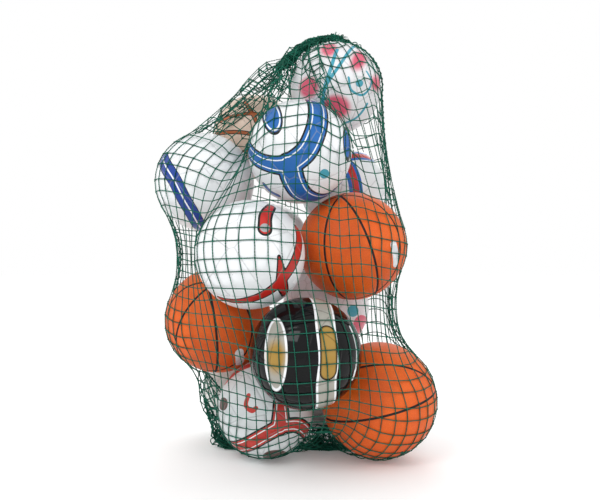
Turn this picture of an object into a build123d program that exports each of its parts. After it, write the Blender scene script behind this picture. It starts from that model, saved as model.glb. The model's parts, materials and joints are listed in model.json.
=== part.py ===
from build123d import *
import math
import os

import numpy as np

# A ball bag of square-mesh netting, packed full of balls and stood on its closed end. Two panels
# of netting are laced together down both sides and along the foot, and the open end is drawn up
# into a bunch that lies over the top ball. Millimetres. +X is the bag's right, +Y its back, +Z up.
# The origin is on the floor under the middle of the bag.

# Ball diameters: footballs of size 5 and 4, basketballs of size 7 and 6.
FOOTBALL_5 = 218.0
FOOTBALL_4 = 204.0
BASKETBALL_7 = 243.0
BASKETBALL_6 = 232.0

# Walls of the balls. The bladder hangs just inside the cover, held at the valve.
COVER_WALL = {"football": 2.2, "basketball": 2.4}
BLADDER_WALL = 0.9
BLADDER_GAP = 0.5

# The valve is a rubber plug with a needle hole, and a collar that seals it inside the bladder.
VALVE_RADIUS = 4.5
VALVE_CLEARANCE = 0.3
VALVE_LENGTH = 20.0
VALVE_RECESS = 0.6
COLLAR_RADIUS = 12.0
COLLAR_WALL = 2.0
NEEDLE_RADIUS = 0.8
NEEDLE_DEPTH = 14.0

# The netting is one skin, as thick as its twine and knots.
NET_WALL = 2.4
NET_TO_BALL = 2.2
BALL_GAP = 1.0

# Each panel ends at the lacing, a strip as wide as this share of a column of the grid below.
SEAM_Y = 40.0
SEAM_SHARE = 0.2
FOOT_SEAM_HEIGHT = 30.0

# The relaxed skin is a grid of rows up the bag and columns round it.
ROWS = 84
COLUMNS = 64
HOOP_PULL = 0.7
RELAX_STEPS = 1800
START_WIDTH = 420.0

# Where each ball lies before the pile settles: name, kind, diameter, x, y, z, and the way its
# valve faces, in degrees round +Z from +X and above the horizon.
PILE = [
    ("top_ball", "football", FOOTBALL_4, 99, 50, 812, 120, 40),
    ("blue_ball", "football", FOOTBALL_5, 18, -68, 652, 60, 10),
    ("left_ball", "football", FOOTBALL_5, -194, 25, 596, 40, 30),
    ("red_ball", "football", FOOTBALL_5, -81, -154, 436, 75, 20),
    ("right_basketball", "basketball", BASKETBALL_6, 131, -28, 453, 95, 0),
    ("left_basketball", "basketball", BASKETBALL_6, -162, 10, 291, 80, 0),
    ("black_ball", "football", FOOTBALL_5, 28, -186, 242, 110, 15),
    ("corner_basketball", "basketball", BASKETBALL_7, 185, -55, 127, 100, 10),
    ("low_ball", "football", FOOTBALL_4, -54, -52, 107, 120, 30),
    ("tan_ball", "football", FOOTBALL_4, -90, 172, 720, 20, 20),
    ("striped_ball", "football", FOOTBALL_4, 122, 155, 590, 70, 25),
    ("middle_ball", "football", FOOTBALL_4, -60, 150, 456, 150, 30),
    ("back_ball", "football", FOOTBALL_4, 78, 130, 313, 30, 40),
    ("low_back_ball", "football", FOOTBALL_4, 92, 155, 107, 40, 30),
    ("low_left_ball", "football", FOOTBALL_4, -112, 165, 107, 130, 30),
]

# Small round stays stand for the pull of twines that hold the net off the balls: along its
# upper left edge, below the drawn-up mouth, and in the empty lower left corner of the bag.
STAY_RADIUS = 26.0
STAYS = [
    (-226, SEAM_Y, 682),
    (-188, SEAM_Y, 715),
    (-145, SEAM_Y, 758),
    (-107, SEAM_Y, 796),
    (-179, SEAM_Y, 165),
    (-179, SEAM_Y, 120),
    (-170, SEAM_Y, 75),
    (-146, SEAM_Y, 38),
]

# The ring where the netting closes into the bunch, and the way it faces.
NECK = Vector(-36, SEAM_Y, 856)
NECK_FACES = Vector(-0.6, 0, 0.8)
NECK_RADIUS = 12.0
NECK_CLEARANCE = 1.0

# The bunch, over the shoulder of the top ball: degrees round the ball from +X, how far the
# bunch's middle stands off the ball, and the bunch's radius.
BUNCH = [
    (148, 21, 14.5),
    (130, 16.5, 11.5),
    (112, 12.5, 7.5),
    (95, 10, 4.8),
    (80, 9.5, 4),
]
# The cord that draws the mouth up is doubled back inside the bunch.
MOUTH_CORD_RADIUS = 1.5
MOUTH_CORD_HALF_GAP = 2.0
MOUTH_CORD_STAND_OFF = 14.5
MOUTH_CORD_START = 113.0
MOUTH_CORD_END = 128.0
MOUTH_CORD_ROOM = 0.3


def settled_pile():
    """Ball centres and radii, with overlapping balls pushed apart to BALL_GAP."""
    centres = np.array([row[3:6] for row in PILE], float)
    radii = np.array([row[2] / 2 for row in PILE])
    floor = NET_WALL + NET_TO_BALL
    for _ in range(1000):
        for a in range(len(PILE)):
            for b in range(a):
                apart = centres[a] - centres[b]
                length = np.linalg.norm(apart)
                short = max(0.0, radii[a] + radii[b] + BALL_GAP - length)
                centres[a] += apart / length * short / 2
                centres[b] -= apart / length * short / 2
        centres[:, 2] = np.maximum(centres[:, 2], radii + floor)
    return centres, radii


def relaxed_net(centres, radii):
    """The middle of the net's skin: a closed sock, drawn tight over the balls and the floor."""
    kept_out = np.vstack([centres, np.array(STAYS, float)])
    reach = np.concatenate([radii, np.full(len(STAYS), STAY_RADIUS)]) + NET_TO_BALL + NET_WALL / 2
    foot = np.array([centres[:, 0].mean(), centres[:, 1].mean(), NET_WALL / 2])
    turn = np.linspace(0, 2 * math.pi, COLUMNS, endpoint=False)
    ring = np.stack([np.cos(turn), np.sin(turn), np.zeros(COLUMNS)], 1)
    net = np.zeros((ROWS + 1, COLUMNS, 3))
    for i in range(ROWS + 1):
        share = i / ROWS
        middle = foot + (np.array(tuple(NECK)) - foot) * np.clip((share - 0.15) / 0.7, 0, 1)
        middle[2] += 150 * math.sin(math.pi * share)
        net[i] = middle + ring * max(START_WIDTH * min(1, share / 0.15, (1 - share) / 0.15), NECK_RADIUS)
    neck = Plane(NECK, x_dir=Vector(0.8, 0, 0.6), z_dir=NECK_FACES)
    net[-1] = [tuple(neck.from_local_coords(Vector(*p) * NECK_RADIUS)) for p in ring]
    for _ in range(RELAX_STEPS):
        hoop = (np.roll(net, 1, 1) + np.roll(net, -1, 1))[1:-1] / 2
        rise = (net[2:] + net[:-2]) / 2
        net[1:-1] = HOOP_PULL * hoop + (1 - HOOP_PULL) * rise
        keep_clear(net, kept_out, reach)
    net = evened(net)
    keep_clear(net, kept_out, reach)
    return net


def keep_clear(net, centres, reach):
    """Push a net's inner rows out of round keep-outs and up off the floor, in place."""
    for centre, radius in zip(centres, reach):
        out = net[1:-1] - centre
        length = np.linalg.norm(out, axis=2, keepdims=True)
        net[1:-1] = np.where(length < radius, centre + out * radius / length, net[1:-1])
    net[1:-1, :, 2] = np.maximum(net[1:-1, :, 2], NET_WALL / 2)


def evened(net):
    """The same net with its rows evenly spaced up each column."""
    even = net.copy()
    for column in range(COLUMNS):
        line = net[:, column]
        steps = np.linalg.norm(np.diff(line, axis=0), axis=1)
        along = np.concatenate([[0], np.cumsum(steps)])
        target = np.linspace(0, along[-1], ROWS + 1)
        for axis in range(3):
            even[:, column, axis] = np.interp(target, along, line[:, axis])
    return even


def net_normals(net):
    """Outward normals of the skin, square to its flat ends there."""
    round_way = np.roll(net, -1, 1) - np.roll(net, 1, 1)
    up_way = np.zeros_like(net)
    up_way[1:-1] = net[2:] - net[:-2]
    normal = np.cross(round_way, up_way)
    normal[0] = (0, 0, -1)
    normal[-1] = tuple(NECK_FACES)
    return normal / np.linalg.norm(normal, axis=2, keepdims=True)


def at_column(grid, column):
    """The points of a grid at a column, which may lie between two of its columns."""
    low = math.floor(column)
    share = column - low
    return (1 - share) * grid[:, low % COLUMNS] + share * grid[:, (low + 1) % COLUMNS]


def strip(net, start, end):
    """A solid of the skin between two columns, with ruled faces between its rows."""
    columns = [start] + list(range(math.ceil(start), math.floor(end) + 1)) + [end]
    half = net_normals(net) * NET_WALL / 2
    sides = []
    for grid in (net + half, net - half):
        points = np.stack([at_column(grid, column) for column in columns], 1)
        sides.append([[Vector(*p) for p in row] for row in points])
    outer, inner = sides
    outer_rows = [Edge.make_spline(row) for row in outer]
    inner_rows = [Edge.make_spline(row) for row in inner]
    start_rows = [Edge.make_line(a[0], b[0]) for a, b in zip(outer, inner)]
    end_rows = [Edge.make_line(a[-1], b[-1]) for a, b in zip(outer, inner)]
    faces = [
        Face.make_surface_from_curves(outer_rows[0], inner_rows[0]),
        Face.make_surface_from_curves(outer_rows[-1], inner_rows[-1]),
    ]
    for rows in (outer_rows, inner_rows, start_rows, end_rows):
        for low, high in zip(rows, rows[1:]):
            faces.append(Face.make_surface_from_curves(low, high))
    return Solid(Shell(faces))


def netting(centres, radii):
    """The two panels of netting, and the lacing between them up both sides and along the foot."""
    net = relaxed_net(centres, radii)
    half = SEAM_SHARE / 2
    left = COLUMNS / 2
    right_heights = net[:, 0, 2]
    left_heights = net[:, COLUMNS // 2, 2]
    right_foot = int(np.argmax(right_heights > FOOT_SEAM_HEIGHT))
    left_foot = int(np.argmax(left_heights > FOOT_SEAM_HEIGHT))
    return {
        "back_net": strip(net, half, left - half),
        "front_net": strip(net, left + half, COLUMNS - half),
        "right_lacing": strip(net[right_foot:], -half, half),
        "left_lacing": strip(net[left_foot:], left - half, left + half),
        "foot_lacing": Compound([
            strip(net[: right_foot + 1], -half, half),
            strip(net[: left_foot + 1], left - half, left + half),
        ]),
    }


def ball_direction(degrees):
    """A unit vector round the top ball, in the plane of the seam."""
    return Vector(math.cos(math.radians(degrees)), 0, math.sin(math.radians(degrees)))


def drawn_up_mouth(ball_centre, ball_radius):
    """The bunched mouth of the netting, and the doubled cord inside it."""
    middle = Vector(ball_centre[0], SEAM_Y, ball_centre[2])
    start = Plane(NECK + NECK_FACES * NECK_CLEARANCE, z_dir=NECK_FACES)
    sections = [Wire.make_circle(NECK_RADIUS, start)]
    for degrees, stand_off, radius in BUNCH:
        centre = middle + ball_direction(degrees) * (ball_radius + stand_off)
        sections.append(Wire.make_circle(radius, Plane(centre, z_dir=ball_direction(degrees - 90))))
    bunch = Solid.make_loft(sections)

    cord = doubled_arc(middle, ball_radius + MOUTH_CORD_STAND_OFF, MOUTH_CORD_RADIUS)
    bore = doubled_arc(middle, ball_radius + MOUTH_CORD_STAND_OFF, MOUTH_CORD_RADIUS + MOUTH_CORD_ROOM)
    return {"gathered_mouth": bunch - bore, "mouth_cord": cord}


def doubled_arc(middle, run_radius, wire_radius):
    """A closed hairpin of round cord along an arc round the top ball."""
    ends = []
    for degrees in (MOUTH_CORD_START, MOUTH_CORD_END):
        ends.append(middle + ball_direction(degrees) * run_radius)
    shift = Vector(0, MOUTH_CORD_HALF_GAP, 0)
    crown = middle + ball_direction((MOUTH_CORD_START + MOUTH_CORD_END) / 2) * run_radius
    along = [ball_direction(MOUTH_CORD_START - 90), ball_direction(MOUTH_CORD_END + 90)]
    near = ThreePointArc(ends[0] - shift, crown - shift, ends[1] - shift)
    turn_far = ThreePointArc(ends[1] - shift, ends[1] + along[1] * MOUTH_CORD_HALF_GAP, ends[1] + shift)
    back = ThreePointArc(ends[1] + shift, crown + shift, ends[0] + shift)
    turn_near = ThreePointArc(ends[0] + shift, ends[0] + along[0] * MOUTH_CORD_HALF_GAP, ends[0] - shift)
    path = Wire([near.edge(), turn_far.edge(), back.edge(), turn_near.edge()])
    section = Wire.make_circle(wire_radius, Plane(ends[0] - shift, z_dir=ball_direction(MOUTH_CORD_START + 90)))
    return Solid.sweep(Face(section), path=path)


def ball(kind, radius):
    """The cover, bladder and valve of a ball whose valve faces +Z."""
    cover_inside = radius - COVER_WALL[kind]
    bladder_outside = cover_inside - BLADDER_GAP
    bladder_inside = bladder_outside - BLADDER_WALL
    hole = Pos(0, 0, radius) * Cylinder(VALVE_RADIUS + VALVE_CLEARANCE, 30)
    plug = Pos(0, 0, radius) * Cylinder(VALVE_RADIUS, 30)
    top = radius - VALVE_RECESS
    # The collar's rim just clears the round of the bladder's inside.
    collar_top = math.sqrt(bladder_inside**2 - COLLAR_RADIUS**2) - 0.1
    stem = Pos(0, 0, top - VALVE_LENGTH / 2) * Cylinder(VALVE_RADIUS - 0.01, VALVE_LENGTH)
    collar = Pos(0, 0, collar_top - COLLAR_WALL / 2) * Cylinder(COLLAR_RADIUS, COLLAR_WALL)
    needle = Pos(0, 0, top - NEEDLE_DEPTH / 2) * Cylinder(NEEDLE_RADIUS, NEEDLE_DEPTH)
    return {
        "cover": Sphere(radius) - Sphere(cover_inside) - hole,
        "bladder": Sphere(bladder_outside) - Sphere(bladder_inside) - plug,
        "valve": stem + collar - needle,
    }


def assembly():
    """Every piece by its node's name."""
    centres, radii = settled_pile()
    pieces = netting(centres, radii)
    pieces.update(drawn_up_mouth(centres[0], radii[0]))
    for row, centre, radius in zip(PILE, centres, radii):
        name, kind = row[:2]
        around, above = row[-2:]
        place = Pos(*centre) * Rot(0, 0, around) * Rot(0, 90 - above, 0)
        for part_name, piece in ball(kind, radius).items():
            pieces[f"{name}_{part_name}"] = place * piece
    return pieces


def write(pieces):
    """Centre the whole bag over the origin and write one file for each piece."""
    os.makedirs("parts", exist_ok=True)
    boxes = [piece.bounding_box() for piece in pieces.values()]
    low = Vector(*(min(getattr(box.min, axis) for box in boxes) for axis in "XYZ"))
    high = Vector(*(max(getattr(box.max, axis) for box in boxes) for axis in "XYZ"))
    shift = Pos(-(low.X + high.X) / 2, -(low.Y + high.Y) / 2, -low.Z)
    for name, piece in pieces.items():
        export_step(shift * piece, f"parts/{name}.step")
    print("bag", high - low, "moved by", shift.position)


if __name__ == "__main__":
    write(assembly())
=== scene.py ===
import json
import math

import bpy
import numpy as np
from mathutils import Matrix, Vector


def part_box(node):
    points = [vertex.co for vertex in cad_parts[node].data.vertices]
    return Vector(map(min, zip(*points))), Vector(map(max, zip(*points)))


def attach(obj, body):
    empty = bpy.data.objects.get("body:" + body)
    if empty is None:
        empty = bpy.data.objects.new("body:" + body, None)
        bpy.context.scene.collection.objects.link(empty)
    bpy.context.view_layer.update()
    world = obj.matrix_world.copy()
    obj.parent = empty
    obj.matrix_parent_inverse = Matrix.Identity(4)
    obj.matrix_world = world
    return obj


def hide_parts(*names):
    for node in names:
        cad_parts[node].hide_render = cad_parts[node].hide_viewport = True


# The looks of a drawn-up ball bag: real twines, knots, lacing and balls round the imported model.
# Metres. +X is to the right seen from the front, which faces -Y, and +Z is up.

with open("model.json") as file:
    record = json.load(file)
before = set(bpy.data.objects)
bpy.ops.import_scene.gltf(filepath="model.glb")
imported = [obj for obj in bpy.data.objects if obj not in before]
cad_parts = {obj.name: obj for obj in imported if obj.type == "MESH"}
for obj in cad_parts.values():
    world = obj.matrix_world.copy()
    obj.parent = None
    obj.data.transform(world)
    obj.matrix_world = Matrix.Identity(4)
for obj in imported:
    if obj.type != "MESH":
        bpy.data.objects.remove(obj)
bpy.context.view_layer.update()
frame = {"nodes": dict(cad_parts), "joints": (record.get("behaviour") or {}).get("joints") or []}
RANDOM = np.random.default_rng(7)

BASKETBALLS = ["right_basketball", "left_basketball", "corner_basketball"]
FOOTBALLS = [
    "top_ball",
    "blue_ball",
    "left_ball",
    "red_ball",
    "black_ball",
    "low_ball",
    "tan_ball",
    "striped_ball",
    "middle_ball",
    "back_ball",
    "low_back_ball",
    "low_left_ball",
]
BALLS = FOOTBALLS + BASKETBALLS
HARD_TO_SEE = ["tan_ball", "middle_ball", "back_ball", "low_back_ball", "low_left_ball"]

# The radius of the valve's hole, then how deep the basketballs' channels and the footballs' seams
# are sunk and how far they reach to each side. The labels' width is in ball radii.
VALVE_HOLE = 0.0048
CHANNEL_SINK = 0.0011
CHANNEL_HALF = 0.0027
SEAM_SINK = 0.0005
SEAM_HALF = 0.0016
LABEL_WIDTH = 0.17

# The mesh is square. Each panel is so many meshes across, and the bag so many high.
MESH = 0.025
PANEL = 33
ROUND = 2 * PANEL
ROWS = 52

# The rows split each panel's twine into three pieces, and the last few rows are gathered.
ROW_BANDS = (("low", 0, 17), ("middle", 17, 34), ("high", 34, ROWS))
GATHERED = 4

# Radii of the twine, the lacing's rope and cord, and the knots.
TWINE = 0.00115
LACING_ROPE = 0.0017
LACING_CORD = 0.0008
KNOT = 0.0019

# How far the strands of the twine and the rope stand out, as a share of the radius, and their
# turns per metre. The lacing's cord goes round its rope once in its pitch.
TWIST = {"lobes": 0.13, "turns": 75}
ROPE_TWIST = {"lobes": 0.1, "turns": 70}
LACING_PITCH = 0.0125

# How far off a ball the middle of a knot stays, and the least gap left round knots and cords.
TWINE_TO_BALL = 0.0021
CLEAR = 0.0002

# How the netting settles. A beat is in seconds, and a pull in metres per second squared.
STEPS = 260
PASSES = 10
BEAT = 0.02
WEIGHT = 3.0
DRAW_IN = 0.7
TOP_SPEED = 1.5

# Shares: of the speed kept from beat to beat, of a slack twine's gap made up in a pass, of the
# way to its neighbours' middle, to the foot's line and to the bunch that a knot goes in a pass,
# of the steps after which the bunch holds fully, and of its slide that a ball's grip takes back.
KEPT_SPEED = 0.96
SLACK_ACROSS = 0.12
SLACK_UP = 0.1
EVEN_OUT = 0.05
FOOT_HOLD = 0.3
BUNCH_HOLD = 0.6
BUNCH_DRAWN_BY = 0.3
GRIP = 0.2

# Two meshes in a row are opened out to this span, and each mesh is squared up a little.
OPEN_SPAN = 1.85 * MESH
OPENING = 0.25
SQUARING = 0.01

# Two pulls draw the lowest netting, up to about this height, to a line this deep.
FOOT_RISE = 0.045
FOOT_DEPTH = 0.045
FOOT_PULLS = (7, 6)

# The camera stands level in front of the bag, placed from the middle of the blue ball.
CAMERA_FROM_BLUE = (0.0, -1.557, -0.207)
CAMERA_LENS = 44.28

# The even light all round, the floor's own glow that goes with it, and where the lamps point.
AMBIENT = 1.0
FLOOR_GLOW = AMBIENT * 0.11
LIT_POINT = Vector((0, 0, 0.45))

# Where the netting is drawn in: height, how far up and down, the side it stops at, and the pull.
TUCKS = [
    (0.335, 0.065, 0.218, -60),
    (0.02, 0.05, 0.205, -25),
    (0.44, 0.05, -0.250, 25),
    (0.13, 0.06, -0.205, 25),
    (0.02, 0.05, -0.180, 25),
]


def ball_place(name):
    """The middle and radius of a ball, from the box of its cover."""
    low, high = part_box(f"{name}_cover")
    low, high = np.array(low), np.array(high)
    return (low + high) / 2, float(max(high - low)) / 2


PLACES = {name: ball_place(name) for name in BALLS}
CENTRES = np.array([PLACES[name][0] for name in BALLS])
RADII = np.array([PLACES[name][1] for name in BALLS])
VALVES = {row["child"]: np.array(row["axis"], float) for row in frame["joints"]}
CAMERA = PLACES["blue_ball"][0] + np.array(CAMERA_FROM_BLUE)
MOUTH_LOW, MOUTH_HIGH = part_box("gathered_mouth")
BUNCH_Y = (MOUTH_LOW[1] + MOUTH_HIGH[1]) / 2


def unit(vectors):
    """Vectors scaled to a length of one."""
    return vectors / np.maximum(np.linalg.norm(vectors, axis=-1, keepdims=True), 1e-9)


# ---------------------------------------------------------------- meshes


def mesh_object(name, points, faces, material, smooth=True):
    """An object from points and faces, with one material."""
    data = bpy.data.meshes.new(name)
    points = np.asarray(points, float)
    faces = np.asarray(faces, int)
    sides = faces.shape[1]
    data.vertices.add(len(points))
    data.vertices.foreach_set("co", points.ravel())
    data.loops.add(faces.size)
    data.loops.foreach_set("vertex_index", faces.ravel())
    data.polygons.add(len(faces))
    data.polygons.foreach_set("loop_start", np.arange(0, faces.size, sides))
    data.polygons.foreach_set("loop_total", np.full(len(faces), sides))
    data.update(calc_edges=True)
    data.validate()
    data.polygons.foreach_set("use_smooth", np.full(len(data.polygons), smooth))
    data.materials.append(material)
    made = bpy.data.objects.new(name, data)
    bpy.context.scene.collection.objects.link(made)
    return made


def write_values(made, name, values):
    """Write a number for each point of an object, for its material to read."""
    layer = made.data.attributes.new(name, "FLOAT", "POINT")
    layer.data.foreach_set("value", np.asarray(values, np.float32))


def tubes(paths, radius, outward, sides=6, lobes=0.0, turns=0.0):
    """Round tubes along many paths of as many points each. With lobes, strands wind round them."""
    paths = np.asarray(paths, float)
    count, rings = paths.shape[:2]
    forward = unit(np.gradient(paths, axis=1))
    across = unit(np.cross(forward, outward))
    up = np.cross(across, forward)
    radius = np.broadcast_to(np.asarray(radius, float), (count, rings))
    steps = np.linalg.norm(np.diff(paths, axis=1), axis=2)
    along = np.concatenate([np.zeros((count, 1)), np.cumsum(steps, axis=1)], axis=1)
    corner = np.arange(sides) * 2 * math.pi / sides
    swing = corner + along[..., None] * turns * 2 * math.pi
    reach = radius[..., None] * (1 + lobes * np.cos(corner * sides / 2))
    ring = across[:, :, None] * (np.cos(swing) * reach)[..., None]
    ring = ring + up[:, :, None] * (np.sin(swing) * reach)[..., None]
    points = (paths[:, :, None] + ring).reshape(-1, 3)
    base = (np.arange(count)[:, None, None] * rings + np.arange(rings - 1)[:, None]) * sides
    here = base + np.arange(sides)
    beside = base + (np.arange(sides) + 1) % sides
    faces = np.stack([here, beside, beside + sides, here + sides], -1).reshape(-1, 4)
    return points, faces


def joined(parts):
    """Several (points, faces) pairs as one."""
    points = np.concatenate([part[0] for part in parts])
    starts = np.cumsum([0] + [len(part[0]) for part in parts[:-1]])
    faces = np.concatenate([part[1] + start for part, start in zip(parts, starts)])
    return points, faces


# ---------------------------------------------------------------- netting


def bunch_middle(share):
    """Points along the bunch over the top ball's shoulder, from its low end at 0 to 1."""
    centre, radius = PLACES["top_ball"]
    along = [0, 0.25, 0.5, 0.75, 1]
    turn = np.radians(np.interp(share, along, [161, 150, 131, 108, 84]))
    reach = radius + np.interp(share, along, [0.034, 0.020, 0.0165, 0.0125, 0.0095])
    wide = centre[0] + reach * np.cos(turn)
    height = centre[2] + reach * np.sin(turn)
    return np.stack([wide, np.full(np.shape(share), BUNCH_Y), height], -1)


def bunch_radius(share):
    """The bunch's radius along its length."""
    return np.interp(share, [0, 0.2, 0.5, 0.8, 1], [0.009, 0.0125, 0.0105, 0.0065, 0.0045])


def seam_share(column):
    """How far along the foot and the bunch a column ends, from the left seam to the right."""
    return np.where(column <= PANEL, column / PANEL, (ROUND - column) / PANEL)


def foot_line():
    """Where the laced foot of the bag lies: under the balls, and up to the empty left corner."""
    share = np.arange(PANEL + 1) / PANEL
    wide = np.interp(share, [0, 0.14, 0.28, 0.85, 1], [-0.200, -0.175, -0.150, 0.262, 0.285])
    deep = np.interp(share, [0, 0.28, 0.70, 0.85, 1], [0.045, 0.045, 0.045, 0.080, 0.125])
    lifts = [0.110, 0.030, 0.004, 0.035, 0.040, 0.004, 0.050]
    height = np.interp(share, [0, 0.14, 0.28, 0.42, 0.58, 0.85, 1], lifts)
    return np.stack([wide, deep, height], -1)


def netting_start():
    """The netting before it settles: out from its foot, up outside the balls, in to the bunch."""
    column = np.arange(ROUND)
    turn = math.pi + 2 * math.pi * column / ROUND
    foot = foot_line()[np.where(column <= PANEL, column, ROUND - column)]
    hoops = []
    for wide, deep, height in (
        (0.27, 0.25, 0.0015),
        (0.34, 0.31, 0.05),
        (0.34, 0.31, 0.62),
        (0.20, 0.18, 0.90),
    ):
        hoop = [wide * np.cos(turn), 0.01 + deep * np.sin(turn), np.full(ROUND, height)]
        hoops.append(np.stack(hoop, -1))
    way = np.stack([foot] + hoops + [bunch_middle(seam_share(column))])
    steps = np.linalg.norm(np.diff(way, axis=0), axis=2)
    along = np.concatenate([np.zeros((1, ROUND)), np.cumsum(steps, axis=0)])
    net = np.zeros((ROWS + 1, ROUND, 3))
    for j in range(ROUND):
        target = np.linspace(0, along[-1, j], ROWS + 1)
        for axis in range(3):
            net[:, j, axis] = np.interp(target, along[:, j], way[:, j, axis])
    return net


def pull_together(net, first, second, slack_share):
    """Draw two sets of knots together, in place, by all the stretch of the twines between them, or
    apart by a share of their slack. The next pull undoes some of it."""
    gap = net[second] - net[first]
    now = np.linalg.norm(gap, axis=-1, keepdims=True) + 1e-9
    move = gap / now * (now - MESH) * 0.5
    move = np.where(now < MESH, move * slack_share, move)
    net[first] += move
    net[second] -= move


def keep_outside(points, room):
    """Push points out of each ball in turn and up off the floor, in place."""
    for centre, radius in zip(CENTRES, RADII):
        out = points - centre
        far = np.einsum("...k,...k->...", out, out)
        inside = far < (radius + room) ** 2
        if inside.any():
            length = np.sqrt(far[inside])[:, None]
            points[inside] = centre + out[inside] / length * (radius + room)
    np.maximum(points[..., 2], room + 0.0003, out=points[..., 2])


def pulls(net):
    """What draws on each knot: its weight, a pull inward, the tucks and the laced foot."""
    pull = np.zeros_like(net)
    pull[..., 2] = -WEIGHT
    middle_wide = np.interp(net[..., 2], [0, 0.3, 0.6, 0.9], [0.03, -0.01, -0.04, 0.06])
    middle = np.stack([middle_wide, np.zeros(net.shape[:2])], -1)
    pull[..., :2] -= DRAW_IN * unit(net[..., :2] - middle)
    for height, spread, edge, force in TUCKS:
        near = np.exp(-(((net[..., 2] - height) / spread) ** 2))
        beyond = net[..., 0] > edge if force < 0 else net[..., 0] < edge
        pull[..., 0] += force * near * beyond
    low = np.exp(-((net[..., 2] / FOOT_RISE) ** 2))
    off_line = np.tanh((net[..., 1] - FOOT_DEPTH) / 0.03)
    for force in FOOT_PULLS:
        pull[..., 1] -= force * low * off_line
    return pull


def settled_netting(steps):
    """Knot positions, row by row, once the netting has dropped and drawn in round the balls. Some
    of its twines end up longer than a mesh, most of all those that run up the bag."""
    net = netting_start()
    speed = np.zeros_like(net)
    share = seam_share(np.arange(ROUND))
    scatter = unit(RANDOM.normal(size=(GATHERED, ROUND, 3)))
    spread = bunch_radius(share) * RANDOM.uniform(0.2, 0.9, (GATHERED, ROUND))
    mouth = bunch_middle(share)[None] + scatter * spread[..., None]
    foot = foot_line()
    inner = np.arange(1, PANEL)
    for step in range(steps):
        done = step / steps
        speed = np.clip(speed * KEPT_SPEED + pulls(net) * BEAT, -TOP_SPEED, TOP_SPEED)
        before = net.copy()
        net = net + speed * BEAT
        for turn in range(PASSES):
            for start in (0, 1):
                column = np.arange(start, ROUND, 2)
                beside = (column + 1) % ROUND
                pull_together(net, (slice(None), column), (slice(None), beside), SLACK_ACROSS)
                row = np.arange(start, ROWS, 2)
                pull_together(net, (row,), (row + 1,), SLACK_UP)
            if turn % 2 == 0:
                spread_out(net)
                even = (np.roll(net, 1, 1) + np.roll(net, -1, 1)) / 2 - net
                net[1:-GATHERED] += even[1:-GATHERED] * EVEN_OUT
            net[0, : PANEL + 1] += (foot - net[0, : PANEL + 1]) * FOOT_HOLD
            net[0, ROUND - inner] = net[0, inner]
            gathering = (mouth - net[-GATHERED:]) * min(1, done / BUNCH_DRAWN_BY)
            net[-GATHERED:] += gathering * BUNCH_HOLD
            keep_outside(net, TWINE_TO_BALL)
        held = np.zeros(net.shape[:2], bool)
        for centre, radius in zip(CENTRES, RADII):
            held |= np.linalg.norm(net - centre, axis=-1) < radius + TWINE_TO_BALL + 1e-4
        net[held] -= (net[held] - before[held]) * GRIP
        speed = (net - before) / BEAT
    keep_outside(net, TWINE_TO_BALL)
    return net


def spread_out(net):
    """Open out folds and crushed meshes a little, in place."""
    gap = np.roll(net, -2, 1) - net
    now = np.linalg.norm(gap, axis=-1, keepdims=True) + 1e-9
    move = np.where(now < OPEN_SPAN, gap / now * (now - OPEN_SPAN) * OPENING, 0)
    net += move - np.roll(move, 2, 1)
    gap = net[2:] - net[:-2]
    now = np.linalg.norm(gap, axis=-1, keepdims=True) + 1e-9
    move = np.where(now < OPEN_SPAN, gap / now * (now - OPEN_SPAN) * OPENING, 0)
    move[-GATHERED:] = 0
    net[:-2] += move
    net[2:] -= move
    diagonal = 1.414 * MESH
    for near, far in ((slice(None, -1), slice(1, None)), (slice(1, None), slice(None, -1))):
        gap = np.roll(net, -1, 1)[far] - net[near]
        now = np.linalg.norm(gap, axis=-1, keepdims=True) + 1e-9
        move = gap / now * (now - diagonal) * SQUARING
        net[near] += move
        net[far] -= np.roll(move, 1, 1)


def net_outward(net):
    """The way the netting faces at each knot."""
    round_way = np.roll(net, -1, 1) - np.roll(net, 1, 1)
    up_way = np.gradient(net, axis=0)
    facing = unit(np.cross(round_way, up_way))
    axis = np.array([0.0, 0.03, 0.0])
    away = net - axis
    away[..., 2] = 0
    flip = np.sign((facing * away).sum(-1, keepdims=True))
    return facing * np.where(flip == 0, 1, flip)


def twine_paths(ends_a, ends_b, outward, rings=7):
    """Twines between knots. A twine with more length than its span bows out sideways and down."""
    share = np.linspace(0, 1, rings)
    span = np.linalg.norm(ends_b - ends_a, axis=-1)
    spare = np.sqrt(np.maximum((0.93 * MESH) ** 2 - span**2, 0) * 3 / 16)
    spare = np.minimum(spare, 0.007)
    along = unit(ends_b - ends_a)
    lean = RANDOM.normal(size=ends_a.shape) * 0.5 + outward * 0.5 + np.array([0, 0, -0.7])
    lean = unit(lean - (lean * along).sum(-1, keepdims=True) * along)
    paths = ends_a[:, None] * (1 - share)[:, None] + ends_b[:, None] * share[:, None]
    bow = 4 * share * (1 - share)
    paths = paths + lean[:, None] * spare[:, None, None] * bow[:, None]
    keep_outside(paths, TWINE + 0.0003)
    return paths


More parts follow.
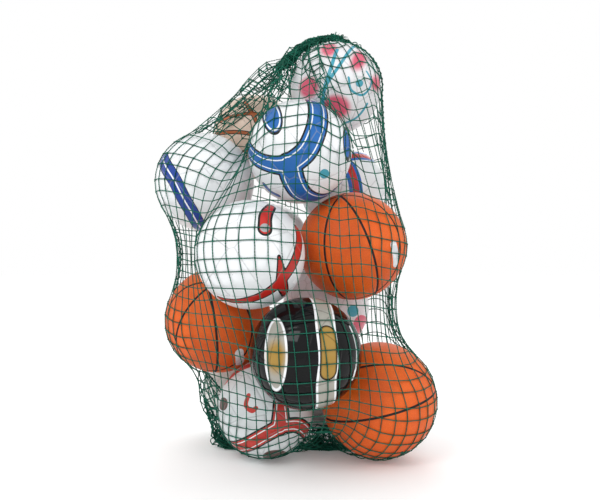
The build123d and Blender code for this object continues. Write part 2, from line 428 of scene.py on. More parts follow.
def knot_meshes(places, across, outward):
    """A twisted lump at each knot, where twines cross."""
    rings, sides = 5, 8
    polar = np.linspace(0.15, math.pi - 0.15, rings)
    turn = np.arange(sides) * 2 * math.pi / sides
    ring_angle, side_angle = np.meshgrid(polar, turn, indexing="ij")
    lump = 1 + 0.16 * np.cos(2 * side_angle + 2 * ring_angle)
    shape = np.stack(
        [
            1.15 * np.sin(ring_angle) * np.cos(side_angle) * lump,
            1.0 * np.sin(ring_angle) * np.sin(side_angle) * lump,
            0.92 * np.cos(ring_angle),
        ],
        -1,
    ).reshape(-1, 3)
    size = KNOT * RANDOM.uniform(0.92, 1.1, len(places))
    skew = RANDOM.uniform(-0.6, 0.6, len(places))
    across = unit(across - (across * outward).sum(-1, keepdims=True) * outward)
    up = np.cross(outward, across)
    along = across * np.cos(skew)[:, None] + up * np.sin(skew)[:, None]
    side = np.cross(outward, along)
    points = places[:, None] + size[:, None, None] * (
        shape[None, :, :1] * along[:, None]
        + shape[None, :, 1:2] * side[:, None]
        + shape[None, :, 2:] * outward[:, None]
    )
    points = points.reshape(-1, 3)
    keep_outside(points, CLEAR)
    here = np.arange(rings - 1)[:, None] * sides + np.arange(sides)
    beside = np.arange(rings - 1)[:, None] * sides + (np.arange(sides) + 1) % sides
    quads = np.stack([here, beside, beside + sides, here + sides], -1).reshape(-1, 4)
    starts = np.arange(len(places))[:, None, None] * rings * sides
    faces = (quads[None] + starts).reshape(-1, 4)
    return points, faces


def along_path(path):
    """How far along a path each of its points is."""
    steps = np.linalg.norm(np.diff(path, axis=0), axis=1)
    return np.concatenate([[0], np.cumsum(steps)])


def resampled(path, count):
    """A path as so many points, evenly apart, and how far along it each one is."""
    along = along_path(path)
    target = np.linspace(0, along[-1], count)
    return np.stack([np.interp(target, along, path[:, k]) for k in range(3)], -1), target


def wound_cord(path, radius, reach, pitch):
    """A thin cord wound round a path."""
    count = max(int(along_path(path)[-1] / pitch * 10), 12)
    line, target = resampled(path, count)
    forward = unit(np.gradient(line, axis=0))
    across = unit(np.cross(forward, np.array([0.13, 0.97, 0.21])))
    up = np.cross(across, forward)
    turn = target / pitch * 2 * math.pi
    coil = line + reach * (across * np.cos(turn)[:, None] + up * np.sin(turn)[:, None])
    keep_outside(coil, radius + CLEAR)
    return tubes(coil[None], radius, np.array([0.31, 0.2, 0.93]))


def lacing(path):
    """A rope along a seam, where the panels' edges meet, with a thinner cord wound round it."""
    line, _ = resampled(path, len(path) * 8)
    for _ in range(2):
        line[1:-1] = (line[:-2] + 2 * line[1:-1] + line[2:]) / 4
    keep_outside(line, LACING_ROPE + 2 * LACING_CORD)
    rope = tubes(line[None], LACING_ROPE, np.array([0.2, 0.9, 0.37]), sides=9, **ROPE_TWIST)
    cord = wound_cord(line, LACING_CORD, LACING_ROPE + LACING_CORD * 0.8, LACING_PITCH)
    return joined([rope, cord])


def netting_piece(name, points, faces, material, node):
    """A piece of the netting's body that stands for one of the model's nodes."""
    piece = mesh_object(name, points, faces, material)
    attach(piece, "net")
    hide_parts(node)


def make_netting(material, lacing_material):
    """Both panels of netting, their lacing and the bunch, as pieces that stand for the model's."""
    net = settled_netting(STEPS)
    outward = net_outward(net)
    for node, start, end in (("front_net", 0, PANEL), ("back_net", PANEL, ROUND)):
        for label, low, high in ROW_BANDS:
            here, there, facing = [], [], []
            rows = np.arange(max(low, 1), high if high < ROWS else ROWS + 1)
            for j in range(start, end):
                here.append(net[rows, j])
                there.append(net[rows, (j + 1) % ROUND])
                facing.append(outward[rows, j])
            rises = np.arange(low, high)
            for j in range(start + 1, end):
                here.append(net[rises, j])
                there.append(net[rises + 1, j])
                facing.append(outward[rises, j])
            facing = np.concatenate(facing)
            paths = twine_paths(np.concatenate(here), np.concatenate(there), facing)
            points, faces = tubes(paths, TWINE, facing[:, None], **TWIST)
            netting_piece(f"{node}_twine_{label}", points, faces, material, node)
        knots = net[1:, start:end].reshape(-1, 3)
        beside = (np.roll(net, -1, 1) - net)[1:, start:end].reshape(-1, 3)
        points, faces = knot_meshes(knots, beside, outward[1:, start:end].reshape(-1, 3))
        netting_piece(f"{node}_knots", points, faces, material, node)
    for node, path in {
        "left_lacing": net[:, 0],
        "right_lacing": net[:, PANEL],
        "foot_lacing": net[0, : PANEL + 1],
    }.items():
        points, faces = lacing(path)
        netting_piece(f"{node}_cord", points, faces, lacing_material, node)
    make_bunch(material)


def make_bunch(material):
    """The gathered mouth: strands wound along the bunch, and short frayed ends at its top."""
    strands = 84
    rings = 16
    middle = RANDOM.uniform(0.05, 0.95, strands) ** 1.25
    half = RANDOM.uniform(0.10, 0.26, strands)
    share = np.clip(middle[:, None] + np.linspace(-1, 1, rings) * half[:, None], 0, 1)
    line = bunch_middle(share)
    ahead = unit(bunch_middle(np.clip(share + 0.01, 0, 1.01)) - bunch_middle(share - 0.01))
    side = np.array([0.0, 1.0, 0.0])
    up = unit(np.cross(ahead, side))
    first_turn = RANDOM.uniform(0, 2 * math.pi, strands)[:, None]
    turn = first_turn + share * RANDOM.uniform(2, 7, strands)[:, None]
    reach = np.sqrt(RANDOM.uniform(0.1, 1, strands))[:, None] * bunch_radius(share)
    wobble = 1 + 0.12 * np.sin(share * 40 + turn)
    off = side * np.cos(turn)[..., None] + up * np.sin(turn)[..., None]
    paths = line + off * (reach * wobble)[..., None]
    keep_outside(paths, TWINE + 0.0004)
    parts = [tubes(paths, TWINE, np.array([0.1, 0.9, 0.3]), **TWIST)]
    ends = 40
    root = bunch_middle(np.linspace(0.86, 1.0, ends))
    spray = unit(RANDOM.normal(size=(ends, 3)) + np.array([1.3, 0, 0.5]))
    length = RANDOM.uniform(0.008, 0.024, ends)
    steps = np.linspace(0, 1, 6)
    droop = np.array([0, 0, -0.35])
    paths = root[:, None] + spray[:, None] * (length[:, None] * steps)[..., None]
    paths = paths + droop * (length[:, None] * steps**2)[..., None]
    keep_outside(paths, TWINE * 0.5 + 0.0004)
    thin = TWINE * np.linspace(0.75, 0.3, 6)[None]
    parts.append(tubes(paths, thin, np.array([0.2, 0.7, 0.6])))
    points, faces = joined(parts)
    netting_piece("gathered_mouth_strands", points, faces, material, "gathered_mouth")


# ---------------------------------------------------------------- balls


def facing_axes(name):
    """The right, up and near directions of a ball, as seen by the camera."""
    near = unit(CAMERA - PLACES[name][0])
    right = unit(np.cross(np.array([0.0, 0.0, 1.0]), near))
    return right, np.cross(near, right), near


def lifted(points):
    """Marks given as (right, up) in ball radii, lifted onto the near side of a unit ball."""
    points = np.asarray(points, float)
    flat = np.minimum((points**2).sum(-1), 0.9999)
    return np.concatenate([points, np.sqrt(1 - flat)[..., None]], -1)


def curve_points(points, count=24):
    """A smooth curve through a few points, as many closer ones."""
    points = lifted(points)
    ends = 2 * points[:1] - points[1:2], 2 * points[-1:] - points[-2:-1]
    padded = np.concatenate([ends[0], points, ends[1]])
    out = []
    for k in range(len(points) - 1):
        a, b, c, d = padded[k : k + 4]
        t = np.linspace(0, 1, count, endpoint=k == len(points) - 2)[:, None]
        squared = (2 * a - 5 * b + 4 * c - d) * t**2
        cubed = (3 * b - a - 3 * c + d) * t**3
        out.append(0.5 * (2 * b + (c - a) * t + squared + cubed))
    return unit(np.concatenate(out))


def stroke(way, points, width):
    """Distance from each direction on a ball to the edge of a curved band; negative inside it."""
    line = curve_points(points)
    best = np.full(len(way), 9.0)
    given = np.linspace(0, 1, np.size(width))
    widths = np.interp(np.linspace(0, 1, len(line)), given, np.ravel(width))
    for a, b, wide in zip(line[:-1], line[1:], widths):
        edge = b - a
        share = np.clip(((way - a) @ edge) / (edge @ edge + 1e-12), 0, 1)
        gap = np.linalg.norm(way - a - share[:, None] * edge, axis=1) - wide / 2
        best = np.minimum(best, gap)
    return best


def oval(way, middle, half_sizes, lean=0.0):
    """Distance from each direction on a ball to the edge of an oval; negative inside it."""
    turn = math.radians(lean)
    right, up = way[:, 0] - middle[0], way[:, 1] - middle[1]
    side = math.cos(turn) * right - math.sin(turn) * up
    along = math.sin(turn) * right + math.cos(turn) * up
    gap = (np.hypot(side / half_sizes[0], along / half_sizes[1]) - 1) * min(half_sizes)
    away = np.linalg.norm(way - lifted([middle])[0], axis=1)
    return np.maximum(gap, away - 1.5 * max(half_sizes))


def ring(way, points):
    """Distance from each direction on a ball to the round line through three points."""
    a, b, c = lifted(points)
    normal = unit(np.cross(b - a, c - a))
    level = normal @ a
    return np.abs(way @ normal - level) / math.sqrt(max(1 - level**2, 0.05))


def three_ways(near, far):
    """The points with a near and a far coordinate of either sign, in the three planes."""
    points = []
    for a in (-near, near):
        for b in (-far, far):
            points += [(0, a, b), (a, b, 0), (b, 0, a)]
    return points


def panel_seams(way, turn):
    """Distance to the seams of a football of twelve five-sided and twenty six-sided panels."""
    golden = (1 + math.sqrt(5)) / 2
    fives = unit(np.array(three_ways(1, golden), float))
    corners = [(a, b, c) for a in (-1, 1) for b in (-1, 1) for c in (-1, 1)]
    sixes = unit(np.array(corners + three_ways(1 / golden, golden), float))
    smaller_fives = 0.967
    seeds = np.concatenate([fives * smaller_fives, sixes]) @ turn.T
    near = way @ seeds.T
    order = np.argsort(-near, axis=1)[:, :2]
    rows = np.arange(len(way))
    gap = near[rows, order[:, 0]] - near[rows, order[:, 1]]
    return gap / np.linalg.norm(seeds[order[:, 0]] - seeds[order[:, 1]], axis=1)


def turned(seed):
    """A turn picked by a seed, as a matrix."""
    turn, _ = np.linalg.qr(np.random.default_rng(seed).normal(size=(3, 3)))
    return turn if np.linalg.det(turn) > 0 else -turn


def ball_surface(name, rings, segments):
    """A ball with a round hole at its valve: the direction and sunk depth of each of its points,
    its faces, its middle and its radius."""
    centre, radius = PLACES[name]
    axis = unit(VALVES[name])
    side = unit(np.cross(axis, np.array([0.3, 0.2, 0.93])))
    other = np.cross(axis, side)
    rim = VALVE_HOLE + np.array([-0.0002, -0.0001, 0.0003, 0.001, 0.0022])
    rest = np.linspace(VALVE_HOLE + 0.004, math.pi * radius - 0.0005, rings)
    polar = np.concatenate([rim, rest]) / radius
    depth = np.concatenate([[0.006, 0.0009, 0.0002, 0.00004], np.zeros(rings + 1)])
    turn = np.arange(segments) * 2 * math.pi / segments
    angle, spin = np.meshgrid(polar, turn, indexing="ij")
    way = (
        axis * np.cos(angle)[..., None]
        + side * (np.sin(angle) * np.cos(spin))[..., None]
        + other * (np.sin(angle) * np.sin(spin))[..., None]
    )
    sunk = np.broadcast_to(depth[:, None], angle.shape)
    here = np.arange(len(polar) - 1)[:, None] * segments + np.arange(segments)
    beside = np.arange(len(polar) - 1)[:, None] * segments + (np.arange(segments) + 1) % segments
    faces = np.stack([here, here + segments, beside + segments, beside], -1).reshape(-1, 4)
    return way.reshape(-1, 3), sunk.ravel(), faces, centre, radius


# What each ball wears. A mark has its colour, how wide its dark edge is, how far in its pale line
# runs, how soft its own edge is, and its shapes. Lengths are in ball radii, and places are right
# and up as the camera sees the ball. Every pattern is mirrored on the far side of its ball.
WHITE = (0.83, 0.85, 0.87)
BLUE = (0.015, 0.12, 0.45)
DEEP_BLUE = (0.008, 0.045, 0.27)
RED = (0.52, 0.022, 0.016)
PINK = (0.66, 0.10, 0.17)
TEAL = (0.05, 0.32, 0.42)
BLACK = (0.004, 0.0045, 0.005)
GOLD = (0.36, 0.22, 0.05)
SILVER = (0.36, 0.35, 0.31)
GREY = (0.35, 0.36, 0.37)
BAND_BLUE = (0.010, 0.12, 0.40)
LOW_RED = (0.50, 0.04, 0.03)
ORANGE = (0.86, 0.150, 0.010)
DEEP_ORANGE = (0.74, 0.105, 0.007)
PEBBLE_SHADE = (0.36, 0.05, 0.008)
CHANNEL_BLACK = (0.012, 0.010, 0.009)
LABEL_WHITE = (0.74, 0.75, 0.76)
LABEL_GREY = (0.60, 0.63, 0.66)
BROWN = (0.10, 0.05, 0.04)
LEATHER_BROWN = (0.38, 0.10, 0.03)

# Places and lines that two marks share.
LEFT_OVAL = (-0.5, -0.02)
BLACK_BAND = [(0.24, 0.95), (0.34, 0.46), (0.39, -0.1), (0.35, -0.56), (0.31, -0.96)]
STRIPE_TOP = [(0.0, 0.72), (0.3, 0.78), (0.62, 0.74)]
STRIPE_SIDE = [(0.14, 0.52), (0.26, 0.2), (0.31, -0.3)]

LOOKS = {
    "blue_ball": {
        "base": WHITE,
        "marks": [
            {
                "colour": BAND_BLUE,
                "edge": 0.035,
                "line": 0.06,
                "shapes": [
                    (
                        stroke,
                        [(-0.2, -0.24), (-0.48, -0.24), (-0.81, -0.13), (-0.99, 0.15)],
                        (0.34, 0.27, 0.28),
                    ),
                    (
                        stroke,
                        [(-0.2, -0.24), (0.11, 0.01), (0.29, 0.38), (0.34, 0.69), (0.29, 0.94)],
                        (0.36, 0.35, 0.33),
                    ),
                    (
                        stroke,
                        [(-0.2, -0.24), (-0.12, -0.54), (0.06, -0.81), (0.43, -0.88), (0.75, -0.66)],
                        (0.42, 0.38, 0.30),
                    ),
                ],
            },
            {
                "colour": BAND_BLUE,
                "edge": 0.03,
                "line": 0.022,
                "shapes": [(oval, (-0.52, 0.65), (0.165, 0.30), -14)],
            },
            {
                "colour": BLUE,
                "edge": 0.02,
                "shapes": [
                    (stroke, [(-0.67, -0.62), (-0.57, -0.74), (-0.42, -0.82)], 0.09),
                    (oval, (0.88, 0.15), (0.06, 0.25), -4),
                ],
            },
            {"colour": TEAL, "shapes": [(oval, (0.45, -0.4), (0.09, 0.09), 0)]},
        ],
    },
    "left_ball": {
        "base": WHITE,
        "marks": [
            {
                "colour": DEEP_BLUE,
                "edge": 0.015,
                "line": 0.14,
                "shapes": [
                    (
                        stroke,
                        [(-0.83, 0.47), (-0.62, 0.08), (-0.42, -0.31), (-0.23, -0.65), (-0.06, -0.94)],
                        0.29,
                    ),
                ],
            },
        ],
    },
    "red_ball": {
        "base": WHITE,
        "marks": [
            {
                "colour": RED,
                "edge": 0.03,
                "shapes": [
                    (
                        stroke,
                        [
                            (0.86, 0.43),
                            (0.81, -0.04),
                            (0.49, -0.51),
                            (0.18, -0.72),
                            (-0.24, -0.82),
                            (-0.55, -0.77),
                        ],
                        (0.20, 0.18, 0.13, 0.05),
                    ),
                    (
                        stroke,
                        [(0.49, -0.04), (0.53, -0.3), (0.55, -0.5), (0.62, -0.7)],
                        (0.02, 0.14, 0.2, 0.1),
                    ),
                ],
            },
            {
                "colour": RED,
                "edge": 0.04,
                "shapes": [(stroke, [(0.38, 0.86), (0.27, 0.68), (0.25, 0.44)], (0.1, 0.17, 0.19))],
            },
            {"colour": GREY, "shapes": [(oval, (0.25, 0.46), (0.085, 0.075), 0)]},
        ],
    },
    "black_ball": {
        "base": BLACK,
        "gloss": True,
        "marks": [
            {"colour": WHITE, "shapes": [(oval, LEFT_OVAL, (0.20, 0.62), 0)]},
            {"colour": SILVER, "shapes": [(oval, LEFT_OVAL, (0.16, 0.57), 0)]},
            {"colour": GOLD, "soft": 0.07, "shapes": [(oval, (-0.5, -0.06), (0.16, 0.26), 0)]},
            {
                "colour": WHITE,
                "shapes": [
                    (stroke, BLACK_BAND, 0.37),
                    (stroke, [(0.77, 0.45), (0.88, 0.01), (0.81, -0.44)], 0.06),
                ],
            },
            {"colour": SILVER, "shapes": [(stroke, BLACK_BAND, 0.29)]},
            {
                "colour": GOLD,
                "soft": 0.02,
                "edge": 0.03,
                "shapes": [(stroke, [(0.37, 0.32), (0.39, -0.05), (0.38, -0.30)], 0.26)],
            },
        ],
    },
    "low_ball": {
        "base": (0.66, 0.70, 0.71),
        "marks": [
            {
                "colour": LOW_RED,
                "edge": 0.035,
                "line": 0.05,
                "shapes": [
                    (stroke, [(-0.60, -0.76), (-0.13, -0.58), (0.29, -0.34)], 0.30),
                    (stroke, [(0.29, 0.13), (0.29, -0.34)], (0.24, 0.36)),
                    (stroke, [(0.29, -0.34), (0.65, -0.34), (0.86, -0.50)], 0.26),
                ],
            },
            {
                "colour": LOW_RED,
                "shapes": [
                    (stroke, [(-0.34, 0.26), (-0.39, 0.07), (-0.28, -0.04), (-0.19, 0.01)], 0.09),
                    (stroke, [(-0.77, 0.62), (-0.37, 0.88)], 0.32),
                ],
            },
            {
                "colour": BROWN,
                "shapes": [(oval, (-0.86, 0.1), (0.10, 0.13), 0), (oval, (0.2, -0.94), (0.26, 0.13), 0)],
            },
        ],
    },
    "top_ball": {
        "base": (0.76, 0.76, 0.78),
        "marks": [
            {
                "colour": PINK,
                "soft": 0.07,
                "shapes": [
                    (oval, (-0.57, 0.02), (0.2, 0.22), 20),
                    (oval, (0.0, -0.39), (0.3, 0.25), 0),
                    (oval, (-0.15, 0.82), (0.17, 0.16), 0),
                    (oval, (0.49, 0.58), (0.15, 0.22), 25),
                    (oval, (0.87, 0.1), (0.12, 0.16), 0),
                ],
            },
            {
                "colour": TEAL,
                "shapes": [
                    (stroke, [(0.03, 0.8), (-0.1, 0.42), (-0.23, 0.02), (-0.28, -0.34)], 0.08),
                    (stroke, [(0.41, 0.89), (0.1, 0.5), (-0.23, 0.02)], 0.07),
                    (stroke, [(0.15, -0.75), (0.45, -0.62), (0.67, -0.34)], 0.07),
                    (stroke, [(0.27, 0.22), (0.33, -0.04), (0.58, -0.14), (0.76, 0.1), (0.66, 0.34)], 0.05),
                    (oval, (0.5, 0.1), (0.08, 0.08), 0),
                ],
            },
        ],
    },
    "tan_ball": {
        "base": (0.72, 0.55, 0.44),
        "marks": [
            {
                "colour": LEATHER_BROWN,
                "edge": 0.02,
                "shapes": [
                    (stroke, [(-0.8, 0.35), (-0.2, 0.52), (0.5, 0.42)], 0.06),
                    (stroke, [(-0.95, 0.05), (-0.3, 0.10), (0.5, -0.10)], 0.06),
                    (stroke, [(-0.6, -0.45), (-0.1, -0.32), (0.4, -0.5)], 0.06),
                    (stroke, [(-0.25, 0.8), (0.1, 0.1), (0.05, -0.6)], 0.06),
                ],
            },
        ],
    },
    "striped_ball": {
        "base": WHITE,
        "marks": [
            {
                "colour": BLUE,
                "shapes": [
                    (stroke, STRIPE_TOP, 0.30),
                    (stroke, STRIPE_SIDE, 0.32),
                ],
            },
            {
                "colour": RED,
                "shapes": [
                    (stroke, STRIPE_TOP, 0.15),
                    (stroke, STRIPE_SIDE, 0.15),
                ],
            },
        ],
    },
    "back_ball": {
        "base": (0.74, 0.73, 0.76),
        "marks": [
            {"colour": PINK, "shapes": [(oval, (0.8, -0.45), (0.2, 0.26), 0)]},
            {"colour": TEAL, "shapes": [(oval, (0.6, -0.1), (0.13, 0.13), 0)]},
        ],
    },
    "middle_ball": {"base": (0.74, 0.75, 0.76), "marks": []},
    "low_back_ball": {"base": (0.70, 0.71, 0.72), "marks": []},
    "low_left_ball": {"base": (0.72, 0.73, 0.71), "marks": []},
}

# Three points that each channel of a basketball passes through, and the two ends of each label,
# in ball radii as for the marks.
CHANNELS = {
    "right_basketball": [
        [(-0.98, 0.15), (-0.22, 0.91), (0.69, 0.51)],
        [(-0.22, 0.91), (-0.49, 0.03), (-0.24, -0.85)],
        [(-0.22, 0.91), (0.18, 0.35), (0.45, -0.74)],
    ],
    "left_basketball": [
        [(-0.16, 0.49), (-0.05, -0.16), (-0.04, -0.91)],
        [(-0.30, 0.49), (-0.62, 0.11), (-0.73, -0.64)],
        [(0.19, 0.54), (0.56, 0.06), (0.55, -0.5)],
    ],
    "corner_basketball": [
        [(-0.29, 0.52), (0.08, 0.57), (0.72, 0.45)],
        [(-0.91, -0.33), (0.08, -0.27), (0.72, -0.04)],
    ],
}
LABELS = {
    "right_basketball": [(0.73, 0.02), (0.78, -0.30)],
    "left_basketball": [(0.37, -0.60), (0.39, -0.80)],
}


def seen_ways(name, way):
    """Directions on a ball in its facing axes, with the far side folded onto the near side."""
    right, up, near = facing_axes(name)
    return np.stack([way @ right, way @ up, np.abs(way @ near)], -1)


def make_ball(name):
    """A ball's cover, with its seams or channels sunk in and its pattern written on it."""
    rings, segments = (110, 220) if name in HARD_TO_SEE else (150, 300)
    way, sunk, faces, centre, radius = ball_surface(name, rings, segments)
    seen = seen_ways(name, way)
    values = {}
    if name in BASKETBALLS:
        channel = np.min([ring(seen, points) for points in CHANNELS[name]], axis=0) * radius
        if name == "corner_basketball":
            out_of_sight = 9 * (seen[:, 2] > 0.35) * radius
            upright = np.abs(way @ unit(np.array([1.0, 0.12, 0.35]))) * radius
            channel = np.minimum(channel, upright + out_of_sight)
        values["seam"] = channel
        depth = CHANNEL_SINK * np.exp(-((channel / CHANNEL_HALF) ** 4))
        if name in LABELS:
            values["mark_0"] = stroke(seen, LABELS[name], LABEL_WIDTH) * radius
        material = basketball_material(name, name in LABELS)
    else:
        look = LOOKS[name]
        seam = panel_seams(way, turned(BALLS.index(name) + 3)) * radius
        values["seam"] = seam
        depth = SEAM_SINK * np.exp(-((seam / SEAM_HALF) ** 2))
        for index, mark in enumerate(look["marks"]):
            gaps = [shape[0](seen, *shape[1:]) for shape in mark["shapes"]]
            values[f"mark_{index}"] = np.min(gaps, axis=0) * radius
        material = football_material(name, look, radius)
    reach = radius - np.where(sunk > 0, sunk, depth)
    made = mesh_object(f"{name}_shell", centre + way * reach[:, None], faces, material)
    for label, numbers in values.items():
        write_values(made, label, numbers)
    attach(made, name)
    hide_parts(f"{name}_cover")


# ---------------------------------------------------------------- materials


class Nodes:
    """A material's nodes, added one at a time and joined as they are made."""

    def __init__(self, name):
        self.material = bpy.data.materials.new(name)
        self.material.use_nodes = True
        self.tree = self.material.node_tree
        self.shader = next(n for n in self.tree.nodes if n.type == "BSDF_PRINCIPLED")

    def join(self, source, target):
        """Link one socket to another, or set a plain value on it."""
        if isinstance(source, bpy.types.NodeSocket):
            self.tree.links.new(source, target)
        elif isinstance(source, tuple) and len(source) == 3 and target.type == "RGBA":
            target.default_value = (*source, 1)
        else:
            target.default_value = source

    def add(self, kind, inputs=None, **settings):
        """A node with its settings and inputs; returns it."""
        node = self.tree.nodes.new(kind)
        for key, value in settings.items():
            setattr(node, key, value)
        for key, value in (inputs or {}).items():
            self.join(value, node.inputs[key])
        return node

    def value(self, name):
        """The number written on the mesh under a name."""
        return self.add("ShaderNodeAttribute", attribute_name=name).outputs["Fac"]

    def math(self, operation, a, b=0.0, c=0.0):
        """The result of one sum."""
        return self.add("ShaderNodeMath", {0: a, 1: b, 2: c}, operation=operation).outputs[0]

    def mix(self, share, a, b):
        """Colour b laid over colour a by a share."""
        node = self.add("ShaderNodeMix", data_type="RGBA")
        self.join(share, node.inputs["Factor"])
        self.join(a, node.inputs["A"])
        self.join(b, node.inputs["B"])
        return next(out for out in node.outputs if out.type == "RGBA")

    def range(self, value, low, high, to_low=0.0, to_high=1.0):
        """A value's place between two ends, smoothly."""
        inputs = {"Value": value, "From Min": low, "From Max": high, "To Min": to_low, "To Max": to_high}
        return self.add("ShaderNodeMapRange", inputs, interpolation_type="SMOOTHSTEP").outputs["Result"]

    def noise(self, scale, detail=3.0):
        """Even noise through the object's own space."""
        place = self.add("ShaderNodeTexCoord").outputs["Object"]
        inputs = {"Vector": place, "Scale": scale, "Detail": detail, "Roughness": 0.55}
        return self.add("ShaderNodeTexNoise", inputs).outputs["Fac"]

    def bump(self, height, strength, distance, before=None):
        """A bump from a height, over another bump when given."""
        node = self.add("ShaderNodeBump", {"Height": height, "Strength": strength, "Distance": distance})
        if before is not None:
            self.join(before, node.inputs["Normal"])
        return node.outputs["Normal"]

    def finish(self, **values):
        """Set the shader's inputs and return the material."""
        for key, value in values.items():
            self.join(value, self.shader.inputs[key.replace("_", " ")])
        return self.material


def football_material(name, look, radius):
    """A glossy synthetic cover with its printed pattern, dark edges and pale lines, and painted shade along
    its seams.
    """
    n = Nodes(f"{name}_cover_look")
    gloss = "gloss" in look
    base = look["base"]
    dirt = n.range(n.noise(9.0), 0.3, 0.75)
    colour = n.mix(dirt, base, tuple(c * 0.93 for c in base))
    for index, mark in enumerate(look["marks"]):
        gap = n.value(f"mark_{index}")
        if "edge" in mark:
            dark = n.math("LESS_THAN", gap, mark["edge"] * radius)
            colour = n.mix(dark, colour, BLACK)
        soft = mark.get("soft", 0.004) * radius
        inside = n.range(gap, -soft, soft, 1.0, 0.0)
        colour = n.mix(inside, colour, mark["colour"])
        if "line" in mark:
            off = n.math("ABSOLUTE", n.math("ADD", gap, mark["line"] * radius))
            line = n.math("LESS_THAN", off, 0.011 * radius)
            colour = n.mix(line, colour, WHITE)
    seam = n.value("seam")
    groove = n.range(seam, 0.0002, 0.0026)
    # Painted shade: the cover is darkened towards a third of its base colour along the seams, where their
    # grooves are sunk.
    shade = n.range(seam, 0.0003, 0.0020, 0.4, 0.0)
    colour = n.mix(shade, colour, tuple(c * 0.35 for c in base))
    grain = n.noise(700.0, 2.0)
    normal = n.bump(grain, 0.12, 0.0003)
    normal = n.bump(groove, 0.55, 0.0008, normal)
    smoothest, roughest = (0.05, 0.10) if gloss else (0.26, 0.38)
    return n.finish(
        Base_Color=colour,
        Roughness=n.range(n.noise(14.0), 0.3, 0.7, smoothest, roughest),
        Normal=normal,
        Coat_Weight=0.2 if gloss else 0.12,
        Coat_Roughness=0.05 if gloss else 0.2,
        Specular_IOR_Level=0.08 if gloss else 0.3,
    )


def basketball_material(name, labelled):
    """Orange pebbled rubber with black channels, and painted shade between its pebbles."""
    n = Nodes(f"{name}_cover_look")
    place = n.add("ShaderNodeTexCoord").outputs["Object"]
    spacing = {"Vector": place, "Scale": 430.0, "Randomness": 0.75}
    pebble = n.add("ShaderNodeTexVoronoi", spacing).outputs["Distance"]
    dome = n.range(pebble, 0.0, 0.62, 1.0, 0.0)
    patch = n.range(n.noise(11.0), 0.3, 0.7)
    colour = n.mix(patch, ORANGE, DEEP_ORANGE)
    # Painted shade: the hollows between the pebbles are darkened towards PEBBLE_SHADE, as shade in the
    # recesses.
    between = n.math("MULTIPLY", n.math("SUBTRACT", 1.0, dome), 0.3)
    colour = n.mix(between, colour, PEBBLE_SHADE)
    in_channel = n.range(n.value("seam"), 0.0022, 0.0027, 1.0, 0.0)
    colour = n.mix(in_channel, colour, CHANNEL_BLACK)
    flat = in_channel
    if labelled:
        label = n.range(n.value("mark_0"), -0.0002, 0.0002, 1.0, 0.0)
        bands = n.range(n.noise(60.0), 0.45, 0.55)
        colour = n.mix(label, colour, n.mix(bands, LABEL_WHITE, LABEL_GREY))
        flat = n.math("MAXIMUM", flat, label)
    height = n.math("MULTIPLY", dome, n.math("SUBTRACT", 1.0, flat))
    normal = n.bump(height, 0.5, 0.0006)
    rough = n.range(in_channel, 0.0, 1.0, 0.48, 0.65)
    return n.finish(Base_Color=colour, Roughness=rough, Normal=normal, Specular_IOR_Level=0.3)


def twine_material(name, dark, light):
    """Twisted green twine, uneven in colour, with fine fibres."""
    n = Nodes(name)
    patch = n.range(n.noise(38.0, 4.0), 0.32, 0.7)
    colour = n.mix(patch, dark, light)
    fibre = n.noise(2600.0, 2.0)
    normal = n.bump(fibre, 0.5, 0.0004)
    return n.finish(Base_Color=colour, Roughness=0.6, Normal=normal, Specular_IOR_Level=0.25)


def rubber_material(name, colour):
    """Matte rubber with a faint mottle."""
    n = Nodes(name)
    patch = n.range(n.noise(60.0), 0.3, 0.7)
    shade = n.mix(patch, colour, tuple(c * 0.7 for c in colour))
    normal = n.bump(n.noise(900.0, 2.0), 0.2, 0.0003)
    return n.finish(Base_Color=shade, Roughness=0.7, Normal=normal)


# ---------------------------------------------------------------- floor, light and camera


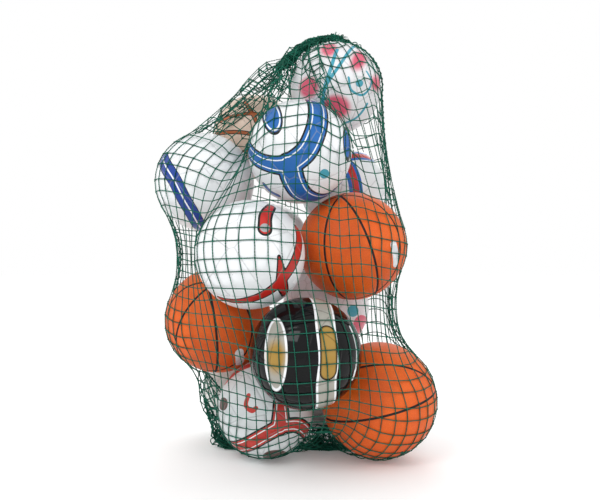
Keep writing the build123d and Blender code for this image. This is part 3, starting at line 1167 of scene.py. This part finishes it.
def make_studio():
    """A pale floor that runs on into a plain pale backdrop, soft lights, and the camera."""
    world = bpy.data.worlds.new("studio")
    world.use_nodes = True
    back = next(node for node in world.node_tree.nodes if node.type == "BACKGROUND")
    back.inputs["Color"].default_value = (1, 1, 1, 1)
    back.inputs["Strength"].default_value = AMBIENT
    bpy.context.scene.world = world
    bpy.context.scene.view_settings.view_transform = "Standard"

    n = Nodes("floor_look")
    patch = n.range(n.noise(3.0), 0.3, 0.7)
    floor_look = n.finish(
        Base_Color=n.mix(patch, (0.90, 0.90, 0.90), (0.88, 0.88, 0.88)),
        Roughness=0.9,
        Emission_Color=(1.0, 1.0, 1.0),
        Emission_Strength=FLOOR_GLOW,
    )
    half = 12.0
    corners = [(-half, -half, 0), (half, -half, 0), (half, half, 0), (-half, half, 0)]
    floor = mesh_object("floor", corners, [[0, 1, 2, 3]], floor_look, smooth=False)

    # Each lamp's name, place, size in metres and power in watts.
    for label, place, size, power in (
        ("key", (-1.1, -2.0, 2.1), 1.1, 20),
        ("fill", (1.6, -1.6, 1.0), 1.6, 5),
        ("back", (0.4, 1.9, 1.8), 1.4, 14),
    ):
        light = bpy.data.lights.new(label, "AREA")
        light.energy = power
        light.size = size
        lamp = bpy.data.objects.new(label, light)
        lamp.location = place
        aim = LIT_POINT - Vector(place)
        lamp.rotation_euler = aim.to_track_quat("-Z", "Y").to_euler()
        bpy.context.scene.collection.objects.link(lamp)

    camera = bpy.data.objects.new("camera", bpy.data.cameras.new("camera"))
    camera.data.lens = CAMERA_LENS
    camera.data.sensor_width = 36
    camera.location = CAMERA
    camera.rotation_euler = (math.pi / 2, 0, 0)
    bpy.context.scene.collection.objects.link(camera)
    bpy.context.scene.camera = camera


NETTING_LOOK = twine_material("netting_look", (0.002, 0.070, 0.042), (0.006, 0.150, 0.095))
LACING_LOOK = twine_material("lacing_look", (0.002, 0.055, 0.034), (0.005, 0.110, 0.072))
BLADDER_LOOK = rubber_material("bladder_look", (0.02, 0.02, 0.02))
VALVE_LOOK = rubber_material("valve_look", (0.035, 0.035, 0.036))

for ball_name in BALLS:
    make_ball(ball_name)
    for part, look in (("bladder", BLADDER_LOOK), ("valve", VALVE_LOOK)):
        node = frame["nodes"][f"{ball_name}_{part}"]
        node.data.materials.clear()
        node.data.materials.append(look)
mouth_cord = frame["nodes"]["mouth_cord"]
mouth_cord.data.materials.clear()
mouth_cord.data.materials.append(LACING_LOOK)
make_netting(NETTING_LOOK, LACING_LOOK)
make_studio()
